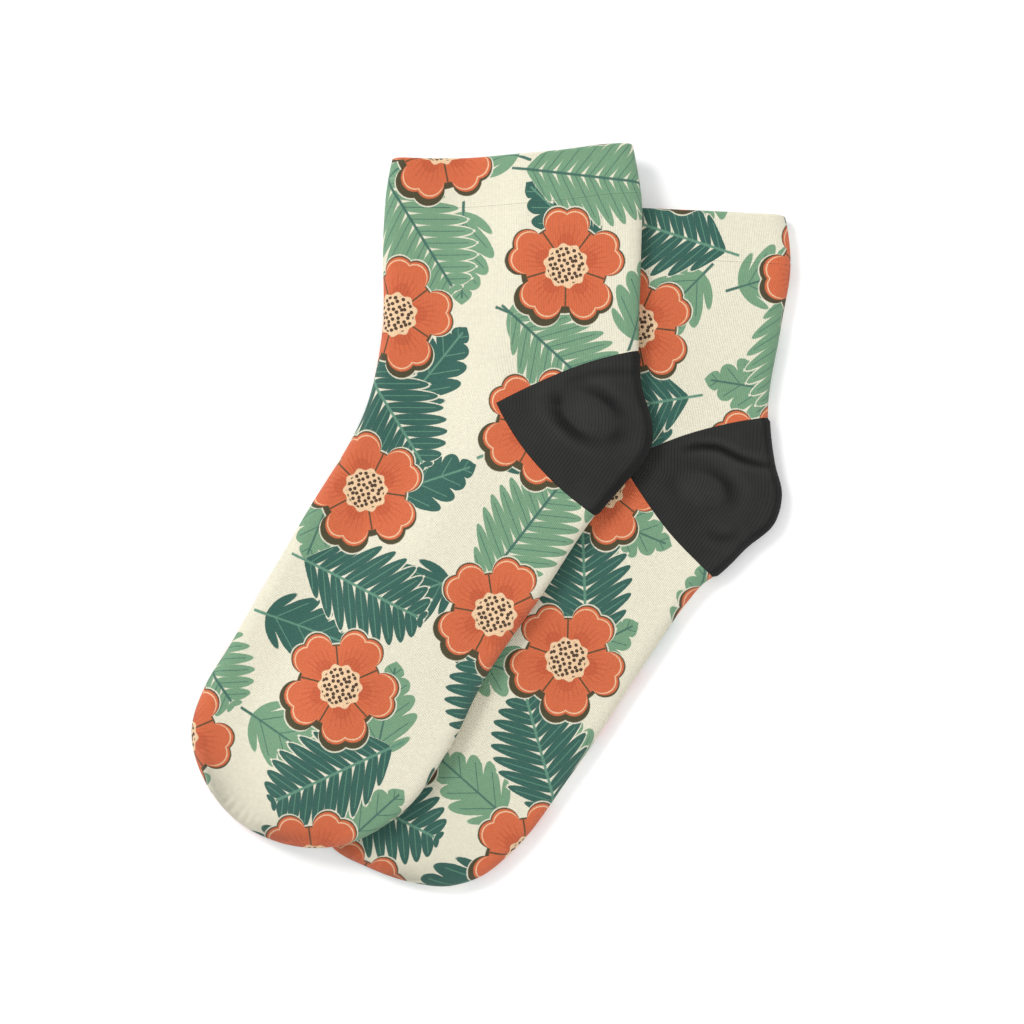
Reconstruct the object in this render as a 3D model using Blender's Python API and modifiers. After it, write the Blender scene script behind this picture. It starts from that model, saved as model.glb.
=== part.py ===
# Pair of ankle socks lying flat, the front sock laid across the back one.
# Metres, +Z up, the table at Z = 0. The outlines are in millimetres on the
# tabletop as seen from above, with the cuffs toward +Y.

import math

import bpy
import numpy as np

MM = 0.001

# Cloth sizes
SOCK_THICKNESS = 8.8 * MM    # both layers and the air between them
FOLD_WIDTH = 5.0 * MM        # a layer levels out this far in from the side fold
KNIT_WALL = 1.6 * MM
CUFF_WALL = 2.2 * MM         # the cuff is knitted double
CUFF_DEPTH = 19.0 * MM
PIECE_GAP = 0.3 * MM         # free space between neighbouring pieces
HEEL_FULLNESS = 1.8 * MM     # how far the heel pocket swells up
TOE_SEAM_RADIUS = 0.6 * MM
TOE_SEAM_GAP = 1.0 * MM      # from the wall at the toe fold to the seam
TOE_SEAM_REACH = 46.0 * MM   # length of seam each side of the toe tip
TOE_ARC = 15.0 * MM          # the last row of the foot runs this far each side of the tip
NARROW_ROW = 40.0 * MM       # on rows shorter than this the side folds narrow in step

# How the front sock climbs onto the back one
REST_GAP = 0.35 * MM
RAMP_WIDTH = 31.0 * MM       # ends where the back sock's fold starts
RAMP_BEYOND_CUFF = 60.0 * MM

# Mesh density
CURVE_STEPS = 16             # samples between two outline points
EDGE_STEPS = 4               # columns over each side fold
FRONT_COLUMNS = 5            # columns from the front fold to the heel tip
HEEL_COLUMNS = 4             # columns from the heel tip to the back fold
CUFF_ROWS = 3
LEG_ROWS = 8
HEEL_ROWS = 8
FOOT_ROWS = 17
TOE_SEAM_STEPS = 24
HEEL_BLUNT = 2.5 * MM        # the heel pocket stops this short of its tip
FOOT_BEND_END = 0.55         # share of the foot over which the rows straighten
TOE_BEND_START = 0.45        # share of the foot after which they turn round the toe
SMOOTH_BELOW = math.radians(40)

# Base colour and roughness of each yarn
PRINTED_KNIT = ((0.62, 0.46, 0.30), 0.9)
CUFF_KNIT = ((0.60, 0.45, 0.30), 0.9)
HEEL_KNIT = ((0.035, 0.036, 0.036), 0.92)
SEAM_THREAD = ((0.78, 0.75, 0.66), 0.9)

FRONT_SOCK = {
    "name": "front_sock",
    # front cuff corner, shin, instep, toe, sole, heel, calf, back cuff corner
    "outline": [
        (-37.0, 134.5), (-39.0, 124.0), (-40.5, 105.0), (-41.0, 68.0), (-46.0, 43.5),
        (-71.0, -1.5), (-107.0, -63.0), (-112.5, -80.0), (-104.5, -104.5), (-94.0, -115.5),
        (-81.0, -121.5), (-55.0, -122.5), (-32.0, -109.5), (-17.0, -89.5), (-2.5, -61.0),
        (20.0, -28.0), (40.0, 0.0), (58.0, 19.0), (61.0, 28.5), (60.0, 38.0),
        (55.0, 61.5), (56.0, 100.0), (56.0, 128.0), (53.5, 139.0),
    ],
    "ankle": 4,
    "toe": 9,
    "heel_low": 16,
    "heel_top": 20,
    "cuff": [(-37.0, 134.5), (7.0, 134.5), (26.0, 136.0), (41.0, 138.0), (53.5, 139.0)],
    "ankle_course": [(-46.0, 43.5), (-23.0, 44.0), (2.0, 42.0)],
    "heel_upper_edge": [(2.0, 42.0), (19.5, 50.5), (33.0, 56.0), (55.0, 61.5)],
    "heel_lower_edge": [(2.0, 42.0), (11.0, 26.5), (24.0, 11.5), (40.0, 0.0)],
    "heel_centre": (35.0, 36.0),
    "heel_swell": 24.0,
}

BACK_SOCK = {
    "name": "back_sock",
    "outline": [
        (16.0, 117.0), (13.5, 107.0), (12.0, 92.0), (7.0, 53.0), (-1.0, 25.0),
        (-27.0, -21.0), (-57.0, -70.5), (-68.0, -94.0), (-67.0, -111.0), (-59.5, -124.5),
        (-46.0, -132.0), (-30.0, -137.5), (-15.5, -139.0), (-4.0, -135.5), (8.0, -126.0),
        (29.5, -98.0), (59.5, -53.0), (74.0, -32.0), (79.5, -25.5), (86.0, -21.0),
        (95.5, -11.5), (106.0, -2.0), (108.5, 8.0), (106.0, 19.0), (104.0, 37.0),
        (109.0, 71.5), (112.5, 95.0), (108.5, 113.0),
    ],
    "ankle": 4,
    "toe": 10,
    "heel_low": 19,
    "heel_top": 24,
    "cuff": [(16.0, 117.0), (65.5, 115.0), (108.5, 113.0)],
    "ankle_course": [(-1.0, 25.0), (23.0, 23.5), (48.0, 21.5)],
    "heel_upper_edge": [(48.0, 21.5), (59.5, 25.5), (73.0, 30.5), (104.0, 37.0)],
    "heel_lower_edge": [(48.0, 21.5), (59.0, 4.5), (70.0, -8.0), (86.0, -21.0)],
    "heel_centre": (89.0, 12.0),
    "heel_swell": 20.0,
}


# Lines on the tabletop

def smooth_line(points):
    """A curve through the points, with CURVE_STEPS samples between neighbours."""
    pts = np.array(points, dtype=float) * MM
    spans = np.linalg.norm(np.diff(pts, axis=0), axis=1)
    slopes = np.diff(pts, axis=0) / spans[:, None]
    tangents = np.empty_like(pts)
    for i in range(1, len(pts) - 1):
        before, after = spans[i - 1], spans[i]
        tangents[i] = (slopes[i - 1] * after + slopes[i] * before) / (before + after)
    tangents[0] = 2 * slopes[0] - tangents[1]
    tangents[-1] = 2 * slopes[-1] - tangents[-2]
    samples = []
    for i, span in enumerate(spans):
        for step in range(CURVE_STEPS):
            t = step / CURVE_STEPS
            samples.append(
                (2 * t**3 - 3 * t**2 + 1) * pts[i]
                + (t**3 - 2 * t**2 + t) * span * tangents[i]
                + (3 * t**2 - 2 * t**3) * pts[i + 1]
                + (t**3 - t**2) * span * tangents[i + 1]
            )
    samples.append(pts[-1])
    return np.array(samples)


def arc_lengths(line):
    steps = np.linalg.norm(np.diff(line, axis=0), axis=1)
    return np.concatenate([[0.0], np.cumsum(steps)])


def point_at(line, distance):
    """The point, or points, at a distance along the line."""
    along = arc_lengths(line)
    x = np.interp(distance, along, line[:, 0])
    y = np.interp(distance, along, line[:, 1])
    return np.stack([x, y], axis=-1)


def distance_to_line(line, points):
    start = line[:-1][None, :, :]
    step = (line[1:] - line[:-1])[None, :, :]
    offset = points[:, None, :] - start
    share = np.sum(offset * step, axis=2) / np.sum(step * step, axis=2)
    share = np.clip(share, 0.0, 1.0)
    nearest = offset - share[:, :, None] * step
    return np.min(np.linalg.norm(nearest, axis=2), axis=1)


def inside_outline(loop, points):
    crossings = np.zeros(len(points), dtype=int)
    for a, b in zip(loop, np.roll(loop, -1, axis=0)):
        spans_row = (a[1] > points[:, 1]) != (b[1] > points[:, 1])
        rise = b[1] - a[1] if b[1] != a[1] else 1.0
        x_cross = a[0] + (points[:, 1] - a[1]) * (b[0] - a[0]) / rise
        crossings += spans_row & (points[:, 0] < x_cross)
    return crossings % 2 == 1


def smooth_step(values):
    t = np.clip(values, 0.0, 1.0)
    return t * t * (3 - 2 * t)


# Heights

def fold_profile(distance):
    """Share of the half thickness reached at a distance in from the side fold."""
    t = np.clip(distance / FOLD_WIDTH, 0.0, 1.0)
    return np.sqrt(1 - (1 - t) ** 2)


def resting_loop(sock):
    """Outline of the sock underneath, carried on past its cuff."""
    side = smooth_line(sock["outline"])
    lift = np.array([0.0, RAMP_BEYOND_CUFF])
    return np.vstack([side[0] + lift, side, side[-1] + lift])


def middle_height(points, under):
    """Height of the plane halfway between the two layers."""
    half = SOCK_THICKNESS / 2
    if under is None:
        return np.full(len(points), half)
    inward = distance_to_line(under, points)
    inward = np.where(inside_outline(under, points), inward, -inward)
    climb = smooth_step(inward / RAMP_WIDTH + 1)
    return half + (SOCK_THICKNESS + REST_GAP) * climb


def layer_heights(sock, points):
    """Heights of the upper layer, the lower layer and the fold at these points."""
    middle = middle_height(points, sock["under"])
    rise = SOCK_THICKNESS / 2 * fold_profile(distance_to_line(sock["side"], points))
    centre = np.array(sock["heel_centre"]) * MM
    spread = np.linalg.norm(points - centre, axis=1) / (sock["heel_swell"] * MM)
    swell = HEEL_FULLNESS * np.clip(1 - spread**2, 0.0, 1.0) ** 2
    return middle + rise + swell, middle - rise, middle


# Rows across the sock

FOLD_MARKS = FOLD_WIDTH * (1 - np.cos(np.linspace(0, math.pi / 2, EDGE_STEPS + 1)))


def front_marks(length):
    """Distances of the columns from the front fold to the heel tip line."""
    inner = np.linspace(FOLD_MARKS[-1], length, FRONT_COLUMNS + 1)
    return np.concatenate([FOLD_MARKS, inner[1:]])


def heel_marks(length):
    """Distances of the columns from the heel tip line to the back fold."""
    inner = np.linspace(HEEL_BLUNT, length - FOLD_MARKS[-1], HEEL_COLUMNS + 1)
    return np.concatenate([[0.0], inner, length - FOLD_MARKS[-2::-1]])


def bent_row(front_line, heel_line):
    """Columns along a row made of two lines that meet at the heel tip."""
    left = point_at(front_line, front_marks(arc_lengths(front_line)[-1]))
    right = point_at(heel_line, heel_marks(arc_lengths(heel_line)[-1]))
    return np.vstack([left, right[1:]])


def straight_shares(width, tip_share):
    """Share of the width at each column of a straight row."""
    fit = min(1.0, width / NARROW_ROW)
    left = front_marks(width * tip_share / fit) * fit
    right = width * tip_share + heel_marks(width * (1 - tip_share) / fit) * fit
    return np.concatenate([left, right[1:]]) / width


def chord_shares(row):
    chord = row[-1] - row[0]
    return (row - row[0]) @ chord / (chord @ chord)


def off_chord(row):
    shares = chord_shares(row)
    return row - (row[0] + shares[:, None] * (row[-1] - row[0]))


def blended_row(left, right, shares, bends):
    """A row between two fold points, bent by a sum of weighted offsets."""
    row = left + shares[:, None] * (right - left)
    for weight, bend in bends:
        row = row + weight * bend
    return row


def rows_between(first, last, left_points, right_points):
    rows = []
    count = len(left_points) - 1
    for i in range(count + 1):
        v = i / count
        shares = (1 - v) * chord_shares(first) + v * chord_shares(last)
        bends = [(1 - v, off_chord(first)), (v, off_chord(last))]
        rows.append(blended_row(left_points[i], right_points[i], shares, bends))
    return rows


def cuff_row(sock, depth):
    """The cuff edge moved down the leg by a depth along both folds."""
    line = smooth_line(sock["cuff"])
    length = arc_lengths(line)[-1]
    shares = straight_shares(length, sock["tip_share"])
    edge = point_at(line, shares * length)
    left = point_at(sock["side"], depth)
    right = point_at(sock["side"], sock["side_length"] - depth)
    shift = (left - edge[0]) + shares[:, None] * ((right - edge[-1]) - (left - edge[0]))
    return edge + shift


def prepare(sock, under):
    """Works out the lines and rows of one sock."""
    sock["under"] = under
    sock["side"] = smooth_line(sock["outline"])
    along = arc_lengths(sock["side"])
    sock["side_length"] = along[-1]
    for mark in ("ankle", "toe", "heel_low", "heel_top"):
        sock[mark + "_at"] = along[sock[mark] * CURVE_STEPS]
    course = smooth_line(sock["ankle_course"])
    upper = smooth_line(sock["heel_upper_edge"])
    lower = smooth_line(sock["heel_lower_edge"])
    front_length = arc_lengths(course)[-1]
    sock["tip_share"] = front_length / (front_length + arc_lengths(upper)[-1])
    sock["leg_end"] = bent_row(course, upper)
    sock["foot_start"] = bent_row(course, lower)


def leg_rows(sock, top_depth, row_count):
    first = cuff_row(sock, top_depth)
    left_at = np.linspace(top_depth, sock["ankle_at"], row_count + 1)
    right_top = sock["side_length"] - top_depth
    right_at = np.linspace(right_top, sock["heel_top_at"], row_count + 1)
    left = point_at(sock["side"], left_at)
    right = point_at(sock["side"], right_at)
    return rows_between(first, sock["leg_end"], left, right)


def foot_rows(sock):
    """Rows from under the ankle to the toe; the last one lies on the toe fold."""
    left_end = sock["toe_at"] - TOE_ARC
    right_end = sock["toe_at"] + TOE_ARC
    left_length = left_end - sock["ankle_at"]
    right_length = sock["heel_low_at"] - right_end
    plain = np.linspace(0, 1 - FOLD_WIDTH / left_length, FOOT_ROWS + 1)
    rounded = 1 - FOLD_MARKS[-2::-1] / left_length
    start = sock["foot_start"]
    column_count = len(start)
    toe_arc = point_at(sock["side"], np.linspace(left_end, right_end, column_count))
    rows = []
    for v in np.concatenate([plain, rounded]):
        left = point_at(sock["side"], sock["ankle_at"] + v * left_length)
        right = point_at(sock["side"], sock["heel_low_at"] - v * right_length)
        start_weight = max(0.0, 1 - v / FOOT_BEND_END) ** 2
        toe_weight = max(0.0, (v - TOE_BEND_START) / (1 - TOE_BEND_START)) ** 3
        width = np.linalg.norm(right - left)
        level = straight_shares(width, 0.5)
        shares = start_weight * chord_shares(start) + (1 - start_weight) * level
        shares = (1 - toe_weight) * shares + toe_weight * chord_shares(toe_arc)
        bends = [(start_weight, off_chord(start)), (toe_weight, off_chord(toe_arc))]
        rows.append(blended_row(left, right, shares, bends))
    return rows


def heel_point(sock, column, turn):
    """A point of the heel fan: turn 0 on the leg edge, 1 on the foot edge."""
    tip = EDGE_STEPS + FRONT_COLUMNS
    last = len(sock["leg_end"]) - 1
    leg, foot = sock["leg_end"], sock["foot_start"]
    reach = np.linalg.norm(leg[column] - leg[tip]) / np.linalg.norm(leg[last] - leg[tip])
    fold_at = sock["heel_top_at"] + turn * (sock["heel_low_at"] - sock["heel_top_at"])
    swing = point_at(sock["side"], fold_at) - ((1 - turn) * leg[last] + turn * foot[last])
    return (1 - turn) * leg[column] + turn * foot[column] + reach * swing


# Meshes

class Shell:
    """Vertices and faces of the outer surface of one piece."""

    def __init__(self, sock):
        self.sock = sock
        self.verts = []
        self.faces = []

    def add_row(self, points, front_fold=True, back_fold=True, closed=False):
        """Adds a row on both layers; at a fold the layers share a vertex."""
        points = np.array(points)
        upper, lower, middle = layer_heights(self.sock, points)
        top_ids = []
        low_ids = []
        last = len(points) - 1
        for i, (x, y) in enumerate(points):
            on_fold = closed or (i == 0 and front_fold) or (i == last and back_fold)
            top_ids.append(len(self.verts))
            self.verts.append((x, y, middle[i] if on_fold else upper[i]))
            if on_fold:
                low_ids.append(top_ids[-1])
            else:
                low_ids.append(len(self.verts))
                self.verts.append((x, y, lower[i]))
        return top_ids, low_ids

    def join(self, row, next_row):
        for ids, next_ids, facing_up in ((row[0], next_row[0], True), (row[1], next_row[1], False)):
            for i in range(len(ids) - 1):
                face = [ids[i], next_ids[i], next_ids[i + 1], ids[i + 1]]
                self.faces.append(face if facing_up else face[::-1])

    def build(self, name, wall, material, collection, frame):
        mesh = bpy.data.meshes.new(name)
        mesh.from_pydata(self.verts, [], self.faces)
        mesh.validate()
        mesh.materials.append(material)
        piece = bpy.data.objects.new(name, mesh)
        collection.objects.link(piece)
        piece.parent = frame
        thicken = piece.modifiers.new("wall", "SOLIDIFY")
        thicken.thickness = wall
        thicken.offset = -1
        thicken.use_even_offset = True
        thicken.use_quality_normals = True
        smooth(piece)
        return piece


def smooth(piece):
    bpy.ops.object.select_all(action="DESELECT")
    piece.select_set(True)
    bpy.context.view_layer.objects.active = piece
    bpy.ops.object.shade_smooth_by_angle(angle=SMOOTH_BELOW)


def make_cuff(sock, material, collection, frame):
    shell = Shell(sock)
    depths = np.linspace(0, CUFF_DEPTH - PIECE_GAP / 2, CUFF_ROWS + 1)
    placed = [shell.add_row(cuff_row(sock, depth)) for depth in depths]
    for row, next_row in zip(placed, placed[1:]):
        shell.join(row, next_row)
    return shell.build(sock["name"] + "_cuff", CUFF_WALL, material, collection, frame)


def make_body(sock, material, collection, frame):
    shell = Shell(sock)
    tip = EDGE_STEPS + FRONT_COLUMNS
    leg = [shell.add_row(row) for row in leg_rows(sock, CUFF_DEPTH + PIECE_GAP / 2, LEG_ROWS)]
    for row, next_row in zip(leg, leg[1:]):
        shell.join(row, next_row)
    # The foot starts on the leg's last row in front of the heel tip and on a
    # new row behind it, so the heel pocket's place stays open.
    rows = foot_rows(sock)
    behind = shell.add_row(rows[0][tip + 1:], front_fold=False)
    start = tuple(leg[-1][side][:tip + 1] + behind[side] for side in (0, 1))
    foot = [start] + [shell.add_row(row) for row in rows[1:-1]]
    foot.append(shell.add_row(rows[-1], closed=True))
    for row, next_row in zip(foot, foot[1:]):
        shell.join(row, next_row)
    turns = np.linspace(0, 1, HEEL_ROWS + 1)[1:-1]
    blunt = shell.add_row(
        [heel_point(sock, tip + 1, turn) for turn in turns],
        front_fold=False,
        back_fold=False,
    )
    for side in (0, 1):
        edge = [leg[-1][side][tip + 1]] + blunt[side] + [start[side][tip + 1]]
        for upper, lower in zip(edge, edge[1:]):
            face = [start[side][tip], lower, upper]
            shell.faces.append(face if side == 0 else face[::-1])
    return shell.build(sock["name"] + "_body", KNIT_WALL, material, collection, frame)


def make_heel(sock, material, collection, frame):
    shell = Shell(sock)
    tip = EDGE_STEPS + FRONT_COLUMNS
    leg, foot = sock["leg_end"], sock["foot_start"]
    last = len(leg) - 1
    # Measured along the line from one edge to the other, which meets both aslant.
    slant_gap = PIECE_GAP * math.sqrt(2)
    placed = []
    for k in range(HEEL_ROWS + 1):
        row = []
        for column in range(tip + 1, last + 1):
            spread = np.linalg.norm(foot[column] - leg[column])
            inset = slant_gap / spread
            point = heel_point(sock, column, inset + (1 - 2 * inset) * k / HEEL_ROWS)
            if column == tip + 1:
                outward = point - leg[tip]
                point = point + PIECE_GAP * outward / np.linalg.norm(outward)
            row.append(point)
        placed.append(shell.add_row(row, front_fold=False))
    for row, next_row in zip(placed, placed[1:]):
        shell.join(row, next_row)
    return shell.build(sock["name"] + "_heel", KNIT_WALL, material, collection, frame)


def make_toe_seam(sock, material, collection, frame):
    """The linked toe seam, a slim ridge inside the toe fold."""
    name = sock["name"] + "_toe_seam"
    inset = KNIT_WALL + TOE_SEAM_GAP + TOE_SEAM_RADIUS
    spots = sock["toe_at"] + np.linspace(-TOE_SEAM_REACH, TOE_SEAM_REACH, TOE_SEAM_STEPS + 1)
    step = 1.0 * MM
    ahead = point_at(sock["side"], spots + step)
    behind = point_at(sock["side"], spots - step)
    along = ahead - behind
    along /= np.linalg.norm(along, axis=1)[:, None]
    # The outline runs with the sock on its left hand.
    inward = np.stack([-along[:, 1], along[:, 0]], axis=1)
    points = point_at(sock["side"], spots) + inset * inward
    heights = middle_height(points, sock["under"])
    curve = bpy.data.curves.new(name, "CURVE")
    curve.dimensions = "3D"
    curve.bevel_depth = TOE_SEAM_RADIUS
    curve.bevel_resolution = 2
    curve.use_fill_caps = True
    strand = curve.splines.new("POLY")
    strand.points.add(len(points) - 1)
    for spot, (x, y), z in zip(strand.points, points, heights):
        spot.co = (x, y, z, 1)
    curve.materials.append(material)
    seam = bpy.data.objects.new(name, curve)
    collection.objects.link(seam)
    seam.parent = frame
    return seam


def make_material(name, colour, roughness):
    material = bpy.data.materials.new(name)
    material.use_nodes = True
    shader = material.node_tree.nodes["Principled BSDF"]
    shader.inputs["Base Color"].default_value = (*colour, 1)
    shader.inputs["Roughness"].default_value = roughness
    shader.inputs["Metallic"].default_value = 0
    return material


def main():
    for item in list(bpy.data.objects):
        bpy.data.objects.remove(item, do_unlink=True)
    parts = bpy.data.collections.new("ankle_sock_pair")
    bpy.context.scene.collection.children.link(parts)

    prepare(BACK_SOCK, None)
    prepare(FRONT_SOCK, resting_loop(BACK_SOCK))

    # The pair is centred on the origin through one parent.
    rims = np.vstack([FRONT_SOCK["side"], BACK_SOCK["side"]])
    centre = (rims.min(axis=0) + rims.max(axis=0)) / 2
    frame = bpy.data.objects.new("sock_pair_frame", None)
    frame.location = (-centre[0], -centre[1], 0)
    parts.objects.link(frame)

    for sock in (FRONT_SOCK, BACK_SOCK):
        name = sock["name"]
        make_cuff(sock, make_material(name + "_cuff_knit", *CUFF_KNIT), parts, frame)
        make_body(sock, make_material(name + "_printed_knit", *PRINTED_KNIT), parts, frame)
        make_heel(sock, make_material(name + "_heel_knit", *HEEL_KNIT), parts, frame)
        make_toe_seam(sock, make_material(name + "_seam_thread", *SEAM_THREAD), parts, frame)


main()
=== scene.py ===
import math

import bmesh
import bpy
import numpy as np
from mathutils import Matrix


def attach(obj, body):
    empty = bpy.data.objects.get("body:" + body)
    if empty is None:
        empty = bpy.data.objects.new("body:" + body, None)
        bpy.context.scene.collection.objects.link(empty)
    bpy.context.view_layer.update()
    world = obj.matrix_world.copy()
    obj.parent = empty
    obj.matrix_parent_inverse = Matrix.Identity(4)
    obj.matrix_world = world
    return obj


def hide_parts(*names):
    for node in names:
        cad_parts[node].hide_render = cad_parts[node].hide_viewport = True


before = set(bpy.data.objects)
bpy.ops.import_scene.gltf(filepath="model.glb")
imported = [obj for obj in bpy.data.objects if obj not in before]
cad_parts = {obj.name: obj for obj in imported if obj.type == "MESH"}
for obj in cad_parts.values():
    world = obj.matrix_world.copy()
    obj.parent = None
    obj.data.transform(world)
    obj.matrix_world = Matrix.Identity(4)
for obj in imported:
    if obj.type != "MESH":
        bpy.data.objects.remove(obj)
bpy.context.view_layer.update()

print("cad solids are in")

mm = 0.001
fullTurn = 2 * math.pi

# how both socks are knitted and how they lie, sizes in mm
cloth = {
    "thick": 8.8,        # both layers and the air between
    "fold": 5.0,         # a layer levels out this far in from the side fold
    "foldRound": 4.7,    # radius the print and the stitches are let out by there
    "wide": 92.0,        # one flat layer, measured along the stitches
    "wall": 1.5,
    "gap": 0.08,         # hairline between neighbouring pieces
    "curveSteps": 20,    # steps along an outline from one of its points to the next
    "foldSteps": 10,
    "columns": 31,       # from fold to heel tip, and from heel tip to the other fold
    "roomy": 8,          # a row under this many folds wide gets narrower folds
    "climb": 31.0,       # the front sock climbs over this width onto the back one
    "runOn": 60.0,       # and goes on climbing this far past the back sock's cuff
    "rest": 0.35,        # air between the two socks
    "slack": 0.2,        # slow waves left in the knit
    "heelLift": 1.8,     # the heel fills the upper layer out by this much
    "middle": (0.003, -0.075),   # the point on the table that the solids are centred on
}

# outlines on the table in mm, cuffs towards +Y; ankle, toe, heelLow and heelTop
# count the outline's points
frontSock = {
    "name": "front",
    "outline": [(-37, 134.5), (-39, 124), (-40.5, 105), (-41, 68), (-46, 43.5),
                (-71, -1.5), (-88.8, -32.4), (-98.6, -49.3), (-107, -63), (-112.5, -80),
                (-104.5, -104.5), (-94, -115.5), (-81, -121.5), (-55, -122.5), (-32, -109.5),
                (-17, -89.5), (-2.5, -61), (20, -28), (38.7, 0.1), (50.2, 13.6),
                (56.2, 20.8), (59.3, 27.5), (59.4, 33.5), (58, 39.5), (56.2, 45),
                (55, 51), (55, 61.5), (56, 100), (56.2, 118), (54.6, 129), (52.7, 138.7)],
    "ankle": 4, "toe": 11, "heelLow": 18, "heelTop": 26,
    "cuff": [(-37, 134.5), (7, 134.5), (26, 136), (41, 138), (52.7, 138.7)],
    "course": [(-46, 43.5), (-23, 44), (2, 42)],
    "heelUpper": [(2, 42), (19.5, 50.5), (33, 56), (55, 61.5)],
    "heelLower": [(2, 42), (11, 26.5), (24, 11.8), (38.7, 0.1)],
    "heelMiddle": (35, 36), "heelSwell": 24,     # where it is filled out, and how far round
    # the heel's puckered bump: place, half sizes and lean, then where its rim is
    # pressed in (facing, spread, how much), then single creases (path, depth, width)
    "pucker": (36.5, 37.3, 12.6, 8.0, -0.555),
    "pressed": [(-112, 48, 1.0), (78, 38, 0.75), (-8, 30, 0.5), (192, 20, 0.7)],
    "creases": [([(29, 49.5), (40, 52.8), (56, 52)], 0.55, 1.4)],
    "ribTurns": (0.0, -0.571),       # lean of the ribs by the leg and by the foot
    "printShift": (4.0, 11.0), "printTurn": 0.0,     # how the print happened to be cut
}
backSock = {
    "name": "back",
    "outline": [(16, 117), (13.5, 107), (12, 92), (7, 53), (-1, 25),
                (-27, -21), (-57, -70.5), (-68, -94), (-67, -111), (-59.5, -124.5),
                (-46, -132), (-30, -137.5), (-15.5, -139), (-4, -135.5), (8, -126),
                (29.5, -98), (59.5, -53), (74, -32), (79.5, -25.7), (83.2, -23),
                (86.2, -20.6), (95.5, -11.5), (106, -2), (108.5, 8), (106, 19), (104, 37),
                (109, 71.5), (112.5, 95), (110.3, 112.8)],
    "ankle": 4, "toe": 10, "heelLow": 19, "heelTop": 25,
    "cuff": [(16, 117), (65.5, 115), (110.3, 112.8)],
    "course": [(-1, 25), (23, 23.5), (48, 21.5)],
    "heelUpper": [(48, 21.5), (59.5, 25.5), (73, 30.5), (104, 37)],
    "heelLower": [(48, 21.5), (58.1, 5.4), (66.5, -6), (76.7, -16.8), (83.2, -23)],
    "heelMiddle": (89, 12), "heelSwell": 20,
    "pucker": (78.5, 9.8, 11.0, 7.4, -0.35),
    "pressed": [(42, 58, 0.8), (-160, 30, 0.25)],
    "creases": [([(72, 24.6), (84, 25.4), (94, 21), (104.5, 18)], 1.7, 1.2),
                ([(81, -6), (86, -8.5), (92, -7)], 0.8, 1.6)],
    "ribTurns": (-0.07, -0.60),
    "printShift": (31.0, -17.0), "printTurn": -0.06,
}


# lines on the table

def curveThrough(points, steps=cloth["curveSteps"]):
    # a smooth line through all the points
    pts = np.array(points, dtype=float)
    span = np.linalg.norm(np.diff(pts, axis=0), axis=1)
    slope = np.diff(pts, axis=0) / span[:, None]
    lean = np.empty_like(pts)
    for i in range(1, len(pts) - 1):
        lean[i] = (slope[i - 1] * span[i] + slope[i] * span[i - 1]) / (span[i - 1] + span[i])
    lean[0] = 2 * slope[0] - lean[1]
    lean[-1] = 2 * slope[-1] - lean[-2]
    t = (np.arange(steps) / steps)[:, None]
    out = []
    for i, s in enumerate(span):
        out.append((2 * t**3 - 3 * t**2 + 1) * pts[i] + (t**3 - 2 * t**2 + t) * s * lean[i]
                   + (3 * t**2 - 2 * t**3) * pts[i + 1] + (t**3 - t**2) * s * lean[i + 1])
    return np.vstack(out + [pts[-1:]])


def lengthsOf(line):
    return np.concatenate([[0.0], np.cumsum(np.linalg.norm(np.diff(line, axis=0), axis=1))])


def alongLine(line, distance):
    lengths = lengthsOf(line)
    return np.stack([np.interp(distance, lengths, line[:, i]) for i in (0, 1)], axis=-1)


def nearestOn(line, points):
    # distance to a line, the share along it, and which way is out of the sock there
    step = np.diff(line, axis=0)
    normal = np.stack([step[:, 1], -step[:, 0]], axis=1)
    normal /= np.linalg.norm(normal, axis=1)[:, None]
    atPoint = np.vstack([normal[:1], (normal[1:] + normal[:-1]) / 2, normal[-1:]])
    lengths = lengthsOf(line)
    found = []
    batch = 3000
    for k in range(0, len(points), batch):
        offset = points[k:k + batch, None, :] - line[None, :-1, :]
        share = np.clip(np.sum(offset * step, axis=2) / np.sum(step * step, axis=1), 0, 1)
        away = np.linalg.norm(offset - share[:, :, None] * step, axis=2)
        best = np.argmin(away, axis=1)
        row = np.arange(len(best))
        s = share[row, best][:, None]
        out = atPoint[best] * (1 - s) + atPoint[best + 1] * s
        out /= np.linalg.norm(out, axis=1)[:, None]
        place = (lengths[best] + s[:, 0] * (lengths[best + 1] - lengths[best])) / lengths[-1]
        found.append(np.column_stack([away[row, best], place, out]))
    found = np.vstack(found)
    return found[:, 0], found[:, 1], found[:, 2:]


def isInside(loop, points):
    crossings = np.zeros(len(points), dtype=int)
    for a, b in zip(loop, np.roll(loop, -1, axis=0)):
        if a[1] == b[1]:
            continue
        spans = (a[1] > points[:, 1]) != (b[1] > points[:, 1])
        meets = a[0] + (points[:, 1] - a[1]) * (b[0] - a[0]) / (b[1] - a[1])
        crossings += spans & (points[:, 0] < meets)
    return crossings % 2 == 1


def ease(values):
    t = np.clip(values, 0, 1)
    return t * t * (3 - 2 * t)


def foldShare(away):
    # how much of its height a layer has reached this far in from the fold
    return np.sqrt(1 - (1 - np.clip(away / cloth["fold"], 0, 1)) ** 2)


# how the cloth lies

def middleHeight(sock, points):
    half = cloth["thick"] / 2
    if sock["under"] is None:
        return np.full(len(points), half)
    inward = nearestOn(sock["under"], points)[0]
    inward = np.where(isInside(sock["under"], points), inward, -inward)
    return half + (cloth["thick"] + cloth["rest"]) * ease(inward / cloth["climb"] + 1)


# small tucks where the linked seam draws the toe in
tucks = {
    "deep": 0.42, "pitch": 3.4, "uneven": 5,
    "inset": 3.2,                    # this far in from the fold, and as wide again
    "strong": 1.25, "reach": 38,     # fading out with distance from the toe's tip
}


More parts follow.
